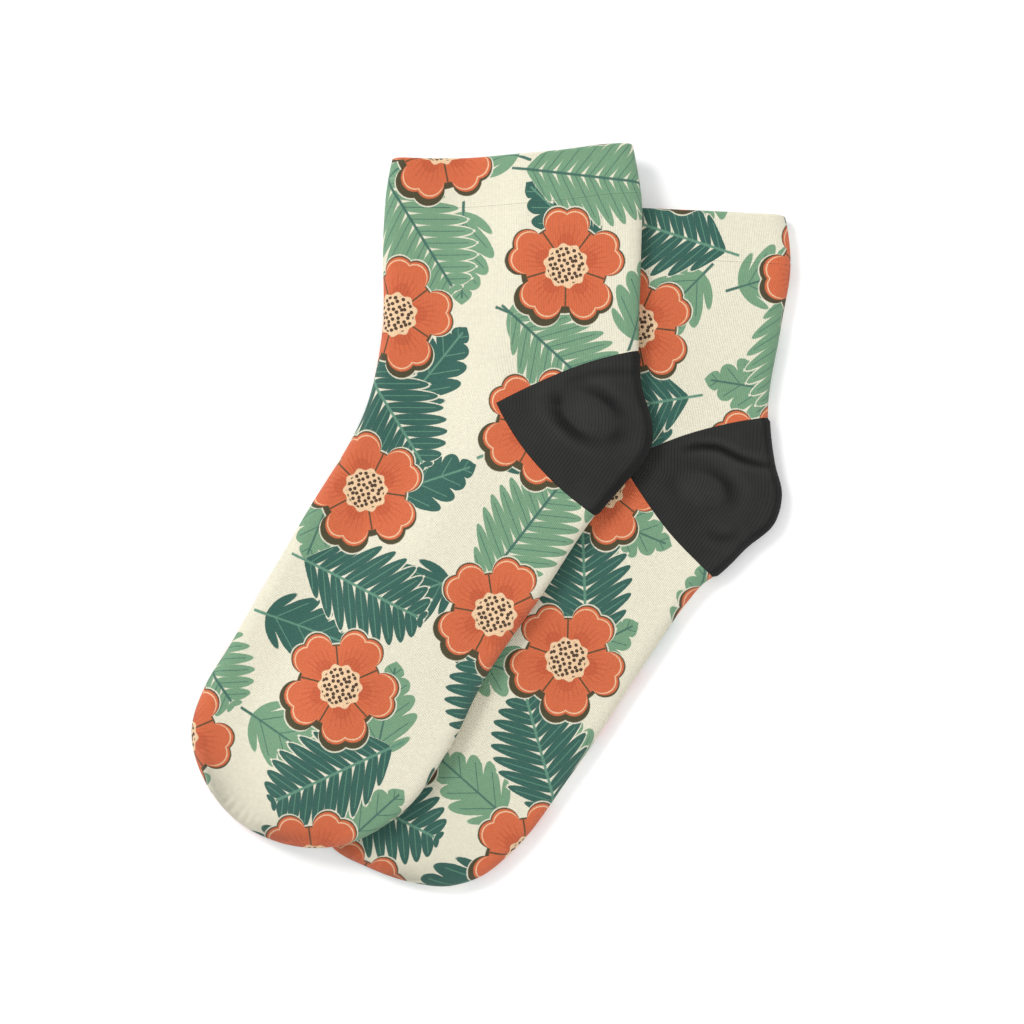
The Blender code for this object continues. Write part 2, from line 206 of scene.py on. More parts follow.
def slowWaves(x, y):
    # between about -1 and 1, no two alike
    return (0.55 * np.sin(x / 9 + 1.7 * np.sin(y / 23))
            + 0.45 * np.sin(y / 12 - 0.8 * np.sin(x / 19) + 1))


def toeTucks(sock, points, away, place):
    toward = np.hypot(*(points - sock["toeTip"]).T)
    at = place * sock["sideLong"]
    ripple = tucks["deep"] * np.sin(at * fullTurn / tucks["pitch"] + np.sin(at / tucks["uneven"]))
    ripple = ripple * np.exp(-((away - tucks["inset"]) / tucks["inset"]) ** 2)
    return ripple * np.clip(tucks["strong"] - toward / tucks["reach"], 0, 1)


def layerHeights(sock, points):
    half = cloth["thick"] / 2
    away, place = nearestOn(sock["side"], points)[:2]
    shown = foldShare(away)
    middle = middleHeight(sock, points)
    x, y = points.T
    mx, my = sock["heelMiddle"]
    spread = np.hypot(x - mx, y - my) / sock["heelSwell"]
    swell = cloth["heelLift"] * np.clip(1 - spread**2, 0, 1) ** 2
    relief = cloth["slack"] * slowWaves(x, y) + toeTucks(sock, points, away, place)
    upper = middle + (half + relief) * shown + swell
    return upper, middle - half * shown


# rows of stitches from side fold to side fold

foldMarks = cloth["fold"] * (1 - np.cos(np.linspace(0, math.pi / 2, cloth["foldSteps"] + 1)))
tipColumn = cloth["foldSteps"] + cloth["columns"]


def frontMarks(length):
    inner = np.linspace(cloth["fold"], length, cloth["columns"] + 1)
    return np.concatenate([foldMarks, inner[1:]])


def heelMarks(length):
    return length - frontMarks(length)[::-1]


def bentRow(frontLine, heelLine):
    left = alongLine(frontLine, frontMarks(lengthsOf(frontLine)[-1]))
    right = alongLine(heelLine, heelMarks(lengthsOf(heelLine)[-1]))
    return np.vstack([left, right[1:]])


def evenShares(width, tipShare):
    # narrow rows have narrower folds
    fit = min(1.0, width / (cloth["roomy"] * cloth["fold"]))
    left = frontMarks(width * tipShare / fit) * fit
    right = width * tipShare + heelMarks(width * (1 - tipShare) / fit) * fit
    return np.concatenate([left, right[1:]]) / width


def chordShares(row):
    chord = row[-1] - row[0]
    return (row - row[0]) @ chord / (chord @ chord)


def offChord(row):
    return row - (row[0] + chordShares(row)[:, None] * (row[-1] - row[0]))


def blendRow(left, right, shares, bends):
    row = left + shares[:, None] * (right - left)
    for weight, bend in bends:
        row = row + weight * bend
    return row


def cuffRow(sock, depth):
    # the cuff's edge carried down the leg
    line = curveThrough(sock["cuff"])
    long = lengthsOf(line)[-1]
    shares = evenShares(long, sock["tipShare"])
    edge = alongLine(line, shares * long)
    left = alongLine(sock["side"], depth) - edge[0]
    right = alongLine(sock["side"], sock["sideLong"] - depth) - edge[-1]
    return edge + left + shares[:, None] * (right - left)


def layOut(sock, under):
    sock["under"] = under
    sock["side"] = curveThrough(sock["outline"])
    lengths = lengthsOf(sock["side"])
    sock["sideLong"] = lengths[-1]
    for mark in ("ankle", "toe", "heelLow", "heelTop"):
        sock[mark + "At"] = lengths[sock[mark] * cloth["curveSteps"]]
    sock["toeTip"] = sock["side"][sock["toe"] * cloth["curveSteps"]]
    course = curveThrough(sock["course"])
    upper = curveThrough(sock["heelUpper"])
    front = lengthsOf(course)[-1]
    sock["tipShare"] = front / (front + lengthsOf(upper)[-1])
    sock["legEnd"] = bentRow(course, upper)
    sock["footStart"] = bentRow(course, curveThrough(sock["heelLower"]))
    print(sock["name"], "sock laid out,", round(lengths[-1]), "mm round the outline")


# cloth meshes

def printPlace(sock, points):
    # where each spot falls in the print, let out round the side folds
    away, unused, out = nearestOn(sock["side"], points)
    lean = np.arcsin(1 - np.clip(away / cloth["fold"], 0, 1))
    return points + out * (cloth["foldRound"] * lean - cloth["fold"] * np.sin(lean))[:, None]


# how far round the tube each column of stitches lies
foldArc = cloth["foldRound"] * np.linspace(0, math.pi / 2, cloth["foldSteps"] + 1)
flatPart = np.linspace(foldArc[-1], cloth["wide"] / 2, cloth["columns"] + 1)
halfAcross = np.concatenate([foldArc, flatPart[1:]])
acrossAt = np.concatenate([halfAcross, cloth["wide"] - halfAcross[-2::-1]])


weld = {"close": 0.003, "sliver": 0.001}     # points and edges under this, mm, become one


class Knit:
    # grids of stitches, welded into one mesh
    def __init__(self):
        self.points, self.faces, self.printAt, self.knitAt, self.liner = [], [], [], [], []
        self.count = 0

    def addGrid(self, points, printAt, knitAt, flip=False, ring=False, liner=0):
        # liner is 1 for rows of faces that show the unprinted side
        rows, cols = points.shape[:2]
        ids = np.arange(rows * cols).reshape(rows, cols) + self.count
        if ring:
            ids = np.column_stack([ids, ids[:, :1]])
        quads = np.stack([ids[:-1, :-1], ids[1:, :-1], ids[1:, 1:], ids[:-1, 1:]], axis=-1)
        liner = np.broadcast_to(np.asarray(liner).reshape(-1, 1), quads.shape[:2])
        quads = quads.reshape(-1, 4)
        self.faces.append(quads[:, ::-1] if flip else quads)
        self.liner.append(liner.reshape(-1))
        self.points.append(points.reshape(-1, 3))
        self.printAt.append(printAt.reshape(-1, 3))
        self.knitAt.append(knitAt.reshape(-1, 3))
        self.count += rows * cols

    def addLayers(self, sock, grid, knitAt, relief=0.0, moved=None):
        # the same rows on the upper and the lower layer
        flat = grid.reshape(-1, 2)
        upper, lower = layerHeights(sock, flat)
        place = printPlace(sock, flat)
        shown = flat if moved is None else moved.reshape(-1, 2)
        for height, side in ((upper + relief, 1.0), (lower, -1.0)):
            points = np.column_stack([shown, height]).reshape(*grid.shape[:2], 3)
            printAt = np.column_stack([place, np.full(len(flat), side)])
            self.addGrid(points, printAt, knitAt, flip=side < 0)

    def build(self, name, materials):
        mesh = bpy.data.meshes.new(name)
        mesh.from_pydata((np.vstack(self.points) * mm).tolist(), [], np.vstack(self.faces).tolist())
        for label, values in (("printAt", self.printAt), ("knitAt", self.knitAt)):
            layer = mesh.attributes.new(label, "FLOAT_VECTOR", "POINT")
            layer.data.foreach_set("vector", np.vstack(values).astype(np.float32).ravel())
        mesh.polygons.foreach_set("material_index", np.concatenate(self.liner).astype(np.int32))
        bm = bmesh.new()
        bm.from_mesh(mesh)
        bmesh.ops.remove_doubles(bm, verts=bm.verts, dist=weld["close"] * mm)
        bmesh.ops.dissolve_degenerate(bm, edges=bm.edges, dist=weld["sliver"] * mm)
        for edge in bm.edges:
            edge.smooth = not edge.is_boundary
        for face in bm.faces:
            face.smooth = True
        bm.to_mesh(mesh)
        bm.free()
        for material in materials:
            mesh.materials.append(material)
        piece = bpy.data.objects.new(name, mesh)
        bpy.context.scene.collection.objects.link(piece)
        return piece


def thicken(piece, liner):
    # gives the sheet its wall, inwards; liner counts on to the inside's material
    solid = piece.modifiers.new("wall", "SOLIDIFY")
    solid.thickness = cloth["wall"] * mm
    solid.offset = -1
    solid.use_even_offset = True
    solid.use_quality_normals = True
    solid.material_offset = liner
    solid.material_offset_rim = liner


# yarn and print

def linear(r, g, b):
    parts = [c / 255 for c in (r, g, b)]
    return (*[c / 12.92 if c <= 0.04045 else ((c + 0.055) / 1.055) ** 2.4 for c in parts], 1.0)


class Wire:
    # a number travelling through a material; the usual signs add Math nodes
    def __init__(self, tree, socket):
        self.tree = tree
        self.socket = socket

    def calc(self, how, *others):
        node = self.tree.nodes.new("ShaderNodeMath")
        node.operation = how
        for slot, value in zip(node.inputs, (self, *others)):
            if isinstance(value, Wire):
                self.tree.links.new(value.socket, slot)
            else:
                slot.default_value = value
        return Wire(self.tree, node.outputs[0])

    def __add__(self, other):
        return self.calc("ADD", other)

    def __sub__(self, other):
        return self.calc("SUBTRACT", other)

    def __mul__(self, other):
        return self.calc("MULTIPLY", other)

    def __truediv__(self, other):
        return self.calc("DIVIDE", other)

    def __pow__(self, other):
        return self.calc("POWER", other)

    def __rsub__(self, other):
        return (self * -1) + other

    def size(self):
        return self.calc("ABSOLUTE")

    def wave(self):
        return self.calc("SINE")

    def fract(self):
        return self.calc("FRACT")

    def floor(self):
        return self.calc("FLOOR")

    def within(self, low, high):
        return self.calc("MAXIMUM", low).calc("MINIMUM", high)

    def below(self, limit, soft=0.18):
        # 1 where the number is under the limit, with an edge this soft
        return ((limit - self) * (0.5 / soft) + 0.5).within(0.0, 1.0)


def vectorOf(tree, x, y, z=0.0):
    node = tree.nodes.new("ShaderNodeCombineXYZ")
    for slot, value in zip(node.inputs, (x, y, z)):
        if isinstance(value, Wire):
            tree.links.new(value.socket, slot)
        else:
            slot.default_value = value
    return node.outputs[0]


def dice(tree, x, y, seed):
    # three steady random numbers for a cell
    node = tree.nodes.new("ShaderNodeTexWhiteNoise")
    node.noise_dimensions = "3D"
    tree.links.new(vectorOf(tree, x, y, seed), node.inputs["Vector"])
    split = tree.nodes.new("ShaderNodeSeparateColor")
    tree.links.new(node.outputs["Color"], split.inputs[0])
    return [Wire(tree, s) for s in split.outputs]


def layColour(tree, mask, under, over):
    # paints over on top of under where the mask is 1
    node = tree.nodes.new("ShaderNodeMix")
    node.data_type = "RGBA"
    tree.links.new(mask.socket, node.inputs[0])
    for slot, colour in ((node.inputs[6], under), (node.inputs[7], over)):
        if isinstance(colour, tuple):
            slot.default_value = colour
        else:
            tree.links.new(colour, slot)
    return node.outputs[2]


def shade(tree, colour, factor):
    # multiplies a colour by a wire
    node = tree.nodes.new("ShaderNodeMix")
    node.data_type = "RGBA"
    node.blend_type = "MULTIPLY"
    node.inputs[0].default_value = 1.0
    grey = tree.nodes.new("ShaderNodeCombineColor")
    for slot in grey.inputs[:3]:
        tree.links.new(factor.socket, slot)
    if isinstance(colour, tuple):
        node.inputs[6].default_value = colour
    else:
        tree.links.new(colour, node.inputs[6])
    tree.links.new(grey.outputs[0], node.inputs[7])
    return node.outputs[2]


def turned(x, y, angle):
    # x and y seen from axes turned by an angle, a number or a wire
    if isinstance(angle, Wire):
        c, s = angle.calc("COSINE"), angle.calc("SINE")
    else:
        c, s = math.cos(angle), math.sin(angle)
    return x * c + y * s, y * c - x * s


def scatter(tree, x, y, motif):
    # a brick layout of motifs: place inside this cell, and its three random numbers
    (cellX, cellY), (shiftX, shiftY) = motif["cell"], motif["shift"]
    row = ((y + shiftY) / cellY).floor()
    across = (x + shiftX) / cellX + row * 0.5
    column = across.floor()
    rolls = dice(tree, column, row, motif["seed"])
    u = (across - column - 0.5) * cellX - (rolls[0] - 0.5) * (2 * motif["stray"])
    v = (((y + shiftY) / cellY) - row - 0.5) * cellY - (rolls[1] - 0.5) * (2 * motif["stray"])
    return u, v, rolls


ink = {       # as seen, 0 to 255
    "cream": linear(238, 233, 210),
    "orange": linear(218, 107, 66),
    "deepOrange": linear(194, 84, 48),
    "peach": linear(247, 210, 168),
    "teal": linear(48, 98, 87),
    "tealVein": linear(98, 148, 125),
    "sage": linear(120, 162, 128),
    "sageVein": linear(66, 112, 98),
    "seed": linear(56, 36, 26),
    "seedLight": linear(120, 84, 56),
    "rim": linear(74, 68, 42),
}


# motifs of the print, mm: cell is how far apart they come, stray how far each one wanders
printLean = 0.35
leaf = {
    "cell": (41, 37), "shift": (11, 25), "stray": 2.0, "seed": 11.5,
    "long": 35, "wide": 23, "lobes": 4, "foot": 17,
    "darkShare": 0.22,       # this many are teal, the others sage
}
frond = {
    "cell": (66, 59), "shift": (15, 31), "stray": 3.0, "seed": 5.5,
    "long": 50, "wide": 36, "leaflets": 9.5, "foot": 25, "aside": 1,
    "paleShare": 0.35,       # this many are sage, the others teal
}
flower = {
    "cell": (66, 59), "shift": (0, 0), "stray": 5.0, "seed": 7.5,
    "radius": 21.5, "petals": 5,
    "notch": 0.30,           # how far in the petals part, as a share of the radius
    "shadow": 2.2, "shadowTurn": 0.37,
    "heart": 0.37, "scallops": 10, "seeded": 0.325,      # the heart's and the seeds' radius
    "seedsPerMm": 0.52, "seedWide": 0.68, "shineWide": 0.20,
}


def leafBlade(tree, under, u, v, blade, vein):
    # a leaf along +u from its foot at 0, with deep forward lobes and slanting veins
    long, wide, lobes = leaf["long"], leaf["wide"], leaf["lobes"]
    t = (u / long).within(0.0, 1.0)
    side = v.size()
    belly = ((t ** 0.72) * math.pi).wave().calc("MAXIMUM", 0.0) ** 0.75 * (wide / 2)
    slant = (u - side * 1.1) / (long / lobes)
    fromTwig = (slant.fract() - 0.42).size()
    edge = belly * (1.06 - ((fromTwig * 1.72) ** 2.2) * 0.52)
    ends = (u - long).below(0.0) * (u * -1).below(0.0)
    inside = (side - edge).below(0.0) * ends
    # a pale hem round the leaf, its stalk, the midrib and a side vein to each lobe
    hem = (side - edge).below(0.7) * (u - long).below(0.6) * (u * -1).below(0.6)
    stalk = side.below(0.55) * (u - long * 0.5).below(0.0) * (u * -1 - 5).below(0.0)
    rib = side.below(0.36) * (u - long * 0.93).below(0.0)
    twig = (fromTwig * (long / lobes)).below(0.24) * (side - edge * 0.75).below(0.0)
    colour = layColour(tree, hem, under, ink["cream"])
    colour = layColour(tree, stalk, colour, vein)
    colour = layColour(tree, inside, colour, blade)
    return layColour(tree, inside * rib.calc("MAXIMUM", twig), colour, vein)


def palmFrond(tree, under, u, v, blade, vein):
    # a midrib along +u with slim leaflets leaning towards the tip
    long, wide = frond["long"], frond["wide"]
    pitch = long / frond["leaflets"]
    side = v.size()
    foot = u - side * 0.62
    t = (foot / long).within(0.0, 1.0)
    reach = ((t ** 0.7) * math.pi).wave() ** 0.6 * (wide / 2)
    out = (side / (reach + 0.01)).calc("MINIMUM", 1.0)
    off = ((foot / pitch).fract() - 0.5).size() * pitch
    plump = ((out * 0.86 + 0.14) * math.pi).wave() ** 0.5 * (pitch * 0.52)
    onLeaf = (side - reach).below(0.0) * (foot - long).below(0.0) * (foot * -1).below(0.0)
    inside = onLeaf * (off - plump).below(0.0, 0.14)
    hem = (side - reach).below(0.7) * (foot - long).below(0.6) * (off - plump).below(0.55)
    hem = hem * (foot * -1).below(0.6)
    spine = side.below(0.5) * (u - long * 0.96).below(0.0) * (u * -1 - 5).below(0.0)
    thread = off.below(0.16) * (side - reach * 0.85).below(0.0) * onLeaf
    colour = layColour(tree, hem, under, ink["cream"])
    colour = layColour(tree, inside, colour, blade)
    colour = layColour(tree, thread, colour, vein)
    return layColour(tree, spine, colour, vein)


def bloom(tree, under, u, v, spin):
    # an open flower of heart-shaped petals round a seeded heart
    radius, petals, notch = flower["radius"], flower["petals"], flower["notch"]
    r = (u * u + v * v) ** 0.5
    turn = v.calc("ARCTAN2", u) / fullTurn + spin
    petal = (turn * petals).fract() - 0.5
    border = petal.size() * 2        # 0 along a petal's middle, 1 where two petals part
    shoulder = ((border * 0.92 + 0.22) * math.pi).wave().calc("MAXIMUM", 0.0) ** 0.55
    reach = (shoulder * notch + (1 - notch)) * radius
    # a dark shadow on one side, with a pale hem beyond it
    lean = ((turn - spin - flower["shadowTurn"]) * fullTurn).wave().calc("MAXIMUM", 0.0)
    shadow = (r - reach).below(lean * flower["shadow"] + 0.6)
    hem = (r - reach).below(lean * flower["shadow"] + 1.1)
    inside = (r - reach).below(0.0)
    # a pale line inside the petals' edge, dark lines between them, fine streaks
    glow = (r - reach + 1.1).size().below(0.22) * border.below(0.80, 0.08)
    gap = ((1 - border) * r * (math.pi / petals)).below(0.30)
    gap = gap * (r * -1 + radius * 0.3).below(0.0)
    streak = ((petal * 9).fract() - 0.5).size() * r * 0.14
    streaks = streak.below(0.22) * (r - reach * 0.74 + border * 2.5).below(0.0, 1.2)
    streaks = streaks * (border - 0.8).below(0.0, 0.05)
    # a deeper colour round the heart, and the seeds in it
    throat = (r - reach * 0.60 + border * radius * 0.24).below(0.0, 0.2)
    ripple = (turn * (fullTurn * flower["scallops"])).wave() * 0.5
    heart = (r - radius * flower["heart"] - ripple).below(0.0)
    cells = tree.nodes.new("ShaderNodeTexVoronoi")
    cells.voronoi_dimensions = "2D"
    cells.inputs["Scale"].default_value = flower["seedsPerMm"]
    cells.inputs["Randomness"].default_value = 0.5
    tree.links.new(vectorOf(tree, u, v), cells.inputs["Vector"])
    fromSeed = Wire(tree, cells.outputs["Distance"]) / flower["seedsPerMm"]
    seeds = fromSeed.below(flower["seedWide"], 0.12) * (r - radius * flower["seeded"]).below(0.0)
    shine = fromSeed.below(flower["shineWide"], 0.12) * seeds
    for mask, paint in ((hem, "cream"), (shadow, "rim"), (inside, "orange"),
                        (throat * 0.5, "deepOrange"), (streaks * 0.65, "deepOrange"),
                        (glow * inside, "peach"), (gap * inside, "rim"),
                        (heart, "peach"), (seeds, "seed"), (shine, "seedLight")):
        under = layColour(tree, mask, under, ink[paint])
    return under


def gardenPrint(tree, x, y):
    # single leaves first, then fronds, then flowers
    x, y = turned(x, y, printLean)
    u, v, rolls = scatter(tree, x, y, leaf)
    u, v = turned(u, v, rolls[0] * fullTurn)
    dark = rolls[2].below(leaf["darkShare"], 0.01)
    blade = layColour(tree, dark, ink["sage"], ink["teal"])
    vein = layColour(tree, dark, ink["sageVein"], ink["tealVein"])
    colour = leafBlade(tree, ink["cream"], u + leaf["foot"], v, blade, vein)
    u, v, rolls = scatter(tree, x, y, frond)
    u, v = turned(u, v, rolls[0] * fullTurn)
    pale = rolls[2].below(frond["paleShare"], 0.01)
    blade = layColour(tree, pale, ink["teal"], ink["sage"])
    vein = layColour(tree, pale, ink["tealVein"], ink["sageVein"])
    colour = palmFrond(tree, colour, u + frond["foot"], v + frond["aside"], blade, vein)
    u, v, rolls = scatter(tree, x, y, flower)
    return bloom(tree, colour, u, v, rolls[2])


def newMaterial(name):
    material = bpy.data.materials.new(name)
    material.use_nodes = True
    tree = material.node_tree
    return material, tree, tree.nodes["Principled BSDF"]


def attributeWires(tree, name):
    node = tree.nodes.new("ShaderNodeAttribute")
    node.attribute_name = name
    split = tree.nodes.new("ShaderNodeSeparateXYZ")
    tree.links.new(node.outputs["Vector"], split.inputs[0])
    return [Wire(tree, s) for s in split.outputs]


def grain(tree, x, y, scale, detail=2.0, seed=0.0):
    # noise between 0 and 1 over the cloth, scale in lumps per mm
    node = tree.nodes.new("ShaderNodeTexNoise")
    node.inputs["Scale"].default_value = scale
    node.inputs["Detail"].default_value = detail
    tree.links.new(vectorOf(tree, x, y, seed), node.inputs["Vector"])
    return Wire(tree, node.outputs["Fac"])


def stitches(across, down, wale, course):
    # height of plain knit: columns of small V stitches, 0 to 1
    side = ((across / wale).fract() - 0.5).size()
    arms = (side * fullTurn).wave().size() ** 0.8
    beads = ((down / course + side * 0.9) * fullTurn).wave() * 0.5 + 0.5
    return arms * (beads * 0.45 + 0.55)


def finishCloth(tree, shader, colour, height, fuzz, lift, sheen):
    bump = tree.nodes.new("ShaderNodeBump")
    bump.inputs["Strength"].default_value = 1.0
    bump.inputs["Distance"].default_value = lift * mm
    tree.links.new(height.socket, bump.inputs["Height"])
    tree.links.new(bump.outputs[0], shader.inputs["Normal"])
    tree.links.new(colour, shader.inputs["Base Color"])
    tree.links.new((fuzz * 0.12 + 0.83).socket, shader.inputs["Roughness"])
    shader.inputs["Specular IOR Level"].default_value = 0.2
    shader.inputs["Sheen Weight"].default_value = sheen
    shader.inputs["Sheen Roughness"].default_value = 0.55


plainYarn = {
    "wale": 1.05, "course": 0.85,    # width and height of a stitch, mm
    "ragged": 0.25,                  # how far the ink strays along the yarn
    "lowerShift": (155, 93),         # the lower layer shows another stretch of the print
    "lining": (238, 235, 222),
}


def printedKnit(sock):
    material, tree, shader = newMaterial(sock["name"] + "PrintedKnit")
    x, y, side = attributeWires(tree, "printAt")
    across, down = attributeWires(tree, "knitAt")[:2]
    upper = side.below(0.0, 0.01) * -1 + 1
    knit = stitches(across, down, plainYarn["wale"], plainYarn["course"])
    ragged = (grain(tree, x, y, 1.3, 1.0) - 0.5) * plainYarn["ragged"]
    px = x * (upper * 2 - 1) + (1 - upper) * plainYarn["lowerShift"][0] + ragged + sock["printShift"][0]
    py = y + (1 - upper) * plainYarn["lowerShift"][1] + ragged + sock["printShift"][1]
    px, py = turned(px, py, sock["printTurn"])
    colour = gardenPrint(tree, px, py)
    # fine fuzz, large soft clouds, and mottling about a stitch wide
    fuzz = grain(tree, x, y, 3.1, 2.0, 4.0)
    cloudy = grain(tree, x, y, 0.035, 2.0, 9.0)
    mottled = grain(tree, x, y, 0.75, 3.0, 5.0)
    # pale yarn shows through the ink between the stitches
    bare = (0.55 - knit).calc("MAXIMUM", 0.0) * fuzz * 0.30
    colour = layColour(tree, bare, colour, ink["cream"])
    # painted shade between the stitches from their height, with fuzz, clouds and mottling as random tone
    colour = shade(tree, colour, knit * 0.13 + fuzz * 0.10 + cloudy * 0.06 + mottled * 0.18 + 0.71)
    finishCloth(tree, shader, colour, knit + fuzz * 0.5, fuzz, 0.22, 0.12)
    return material


def liningKnit(sock):
    # the unprinted back of the knit, seen inside the mouth
    material, tree, shader = newMaterial(sock["name"] + "LiningKnit")
    across, down = attributeWires(tree, "knitAt")[:2]
    x, y = attributeWires(tree, "printAt")[:2]
    knit = stitches(down, across, plainYarn["course"], plainYarn["wale"])
    fuzz = grain(tree, x, y, 2.4, 3.0, 8.0)
    # painted shade between the stitches from their height, with fuzz as random tone
    colour = shade(tree, linear(*plainYarn["lining"]), knit * 0.18 + fuzz * 0.14 + 0.72)
    finishCloth(tree, shader, colour, knit + fuzz * 0.7, fuzz, 0.25, 0.15)
    return material


heelYarn = {
    "black": (46, 46, 45),
    "wale": 1.2, "course": 0.9, "sway": 1.2,     # a stitch's size, and how far the ribs wander
    "paintedShading": 0.36, "darkest": -0.44, "palest": 0.26,      # painted shade in dents and painted light on bumps: how strong, and its limits
}


def heelKnit(sock):
    material, tree, shader = newMaterial(sock["name"] + "HeelKnit")
    across, down, pressed = attributeWires(tree, "knitAt")
    x, y = attributeWires(tree, "printAt")[:2]
    across = across + (grain(tree, x, y, 0.09, 1.0, 2.0) - 0.5) * heelYarn["sway"]
    knit = stitches(across, down, heelYarn["wale"], heelYarn["course"])
    rib = (across * (math.pi / heelYarn["wale"])).wave().size() ** 0.7
    weave = knit * 0.4 + rib * 0.6
    fuzz = grain(tree, x, y, 2.6, 3.0, 5.0)
    cloudy = grain(tree, x, y, 0.10, 2.0, 6.0)
    # the ribs show in places only; dents get painted shade and bumps painted light
    strong = grain(tree, x, y, 0.07, 1.0, 12.0).below(0.52, 0.25)
    paintedShading = (pressed * heelYarn["paintedShading"]).within(heelYarn["darkest"], heelYarn["palest"])
    # painted shade in the grooves of the ribs and stitches and painted light on their tops
    tone = (weave - 0.6) * (strong * 0.50 + 0.13) + fuzz * 0.25 + cloudy * 0.4 + paintedShading + 0.52
    colour = shade(tree, linear(*heelYarn["black"]), tone)
    finishCloth(tree, shader, colour, weave * (strong * 0.5 + 0.3) + fuzz * 0.3, fuzz, 0.5, 0.04)
    return material


def seamThread():
    material, tree, shader = newMaterial("seamThread")
    node = tree.nodes.new("ShaderNodeTexCoord")
    split = tree.nodes.new("ShaderNodeSeparateXYZ")
    tree.links.new(node.outputs["Object"], split.inputs[0])
    x, y, z = [Wire(tree, s) * (1 / mm) for s in split.outputs]
    strand = ((x + y * 0.7 + z * 1.4) * 5.5).wave() * 0.5 + 0.5
    fuzz = grain(tree, x, y, 2.5, 3.0)
    # painted shade between the twisted strands, with fuzz as random tone
    colour = shade(tree, linear(236, 230, 208), strand * 0.25 + fuzz * 0.2 + 0.6)
    finishCloth(tree, shader, colour, strand + fuzz * 0.5, fuzz, 0.2, 0.1)
    return material


# the tube of leg and foot

tube = {
    "legRows": 62, "footRows": 112,
    "toeArc": 15.0,          # the last row lies along this much of the fold each side of the tip
    "straightBy": 0.55, "curlFrom": 0.45,    # shares of the way from heel to toe
}


def stretchAlong(grid, start):
    # how far down the sock each row lies, measured beside the heel tip
    return start + lengthsOf(grid[:, tipColumn])


def stitchGrid(alongs):
    across = np.broadcast_to(acrossAt, (len(alongs), len(acrossAt)))
    down = np.broadcast_to(alongs[:, None], across.shape)
    return np.stack([across, down, np.zeros(across.shape)], axis=-1)


def legRows(sock):
    start = cuff["deep"] + cuff["gap"] / 2
    end = sock["sideLong"] - start
    first, last = cuffRow(sock, start), sock["legEnd"]
    rows = []
    for v in np.linspace(0, 1, tube["legRows"] + 1):
        left = alongLine(sock["side"], start + v * (sock["ankleAt"] - start))
        right = alongLine(sock["side"], end + v * (sock["heelTopAt"] - end))
        shares = (1 - v) * chordShares(first) + v * chordShares(last)
        rows.append(blendRow(left, right, shares, [(1 - v, offChord(first)), (v, offChord(last))]))
    return np.array(rows)


def footRows(sock):
    # rows straighten out below the heel, then curl round until the last lies on the toe fold
    leftEnd, rightEnd = sock["toeAt"] - tube["toeArc"], sock["toeAt"] + tube["toeArc"]
    leftLong, rightLong = leftEnd - sock["ankleAt"], sock["heelLowAt"] - rightEnd
    start = sock["footStart"]
    toe = alongLine(sock["side"], np.linspace(leftEnd, rightEnd, len(start)))
    plain = np.linspace(0, 1 - cloth["fold"] / leftLong, tube["footRows"] + 1)
    rows = []
    for v in np.concatenate([plain, 1 - foldMarks[-2::-1] / leftLong]):
        left = alongLine(sock["side"], sock["ankleAt"] + v * leftLong)
        right = alongLine(sock["side"], sock["heelLowAt"] - v * rightLong)
        keep = max(0.0, 1 - v / tube["straightBy"]) ** 2
        curl = max(0.0, (v - tube["curlFrom"]) / (1 - tube["curlFrom"])) ** 3
        even = evenShares(np.linalg.norm(right - left), 0.5)
        across = keep * chordShares(start) + (1 - keep) * even
        across = (1 - curl) * across + curl * chordShares(toe)
        bends = [(keep, offChord(start)), (curl, offChord(toe))]
        rows.append(blendRow(left, right, across, bends))
    return np.array(rows)


def makeTube(sock, printed, liner):
    # leg above, foot below; the heel's place between them stays open
    knit = Knit()
    leg, foot = legRows(sock), footRows(sock)
    legDown = stretchAlong(leg, cuff["deep"])
    knit.addLayers(sock, leg, stitchGrid(legDown))
    knit.addLayers(sock, foot, stitchGrid(stretchAlong(foot, legDown[-1])))
    piece = knit.build(sock["name"] + "Tube", [printed, liner])
    thicken(piece, 1)
    return piece


# the black heel pocket

heel = {
    "rows": 130, "finer": 3,         # three columns to each one of the tube's
    "creaseSteps": 12,
    "bump": 0.8, "press": 1.7,       # the pucker's height, and how deep its rim goes
    "steep": 1.3, "gentle": 2.6,     # width of the rim's inner and outer slope
    "collar": (0.7, 4.4, 2.2),       # low rise outside the rim: height, how far out, width
    "bank": 0.4,                     # a crease pushes this share of its depth up beside it
    "band": (0.45, 4.2, 1.6),        # pressed flat along the fold: depth, width, how soft
    "foldShade": (0.8, 3.6, 1.4),     # painted shade along the fold: how much, width, how soft
    "lip": (0.3, 1.2),               # above the print beside it: height, how soft
    "proud": (0.8, 1.4, 1.5),        # outside the print's fold: how far, from where, how soft
    "seam": 1.45, "tipSeam": 2,      # gaps to the leg and foot, in the cloth's hairlines
}


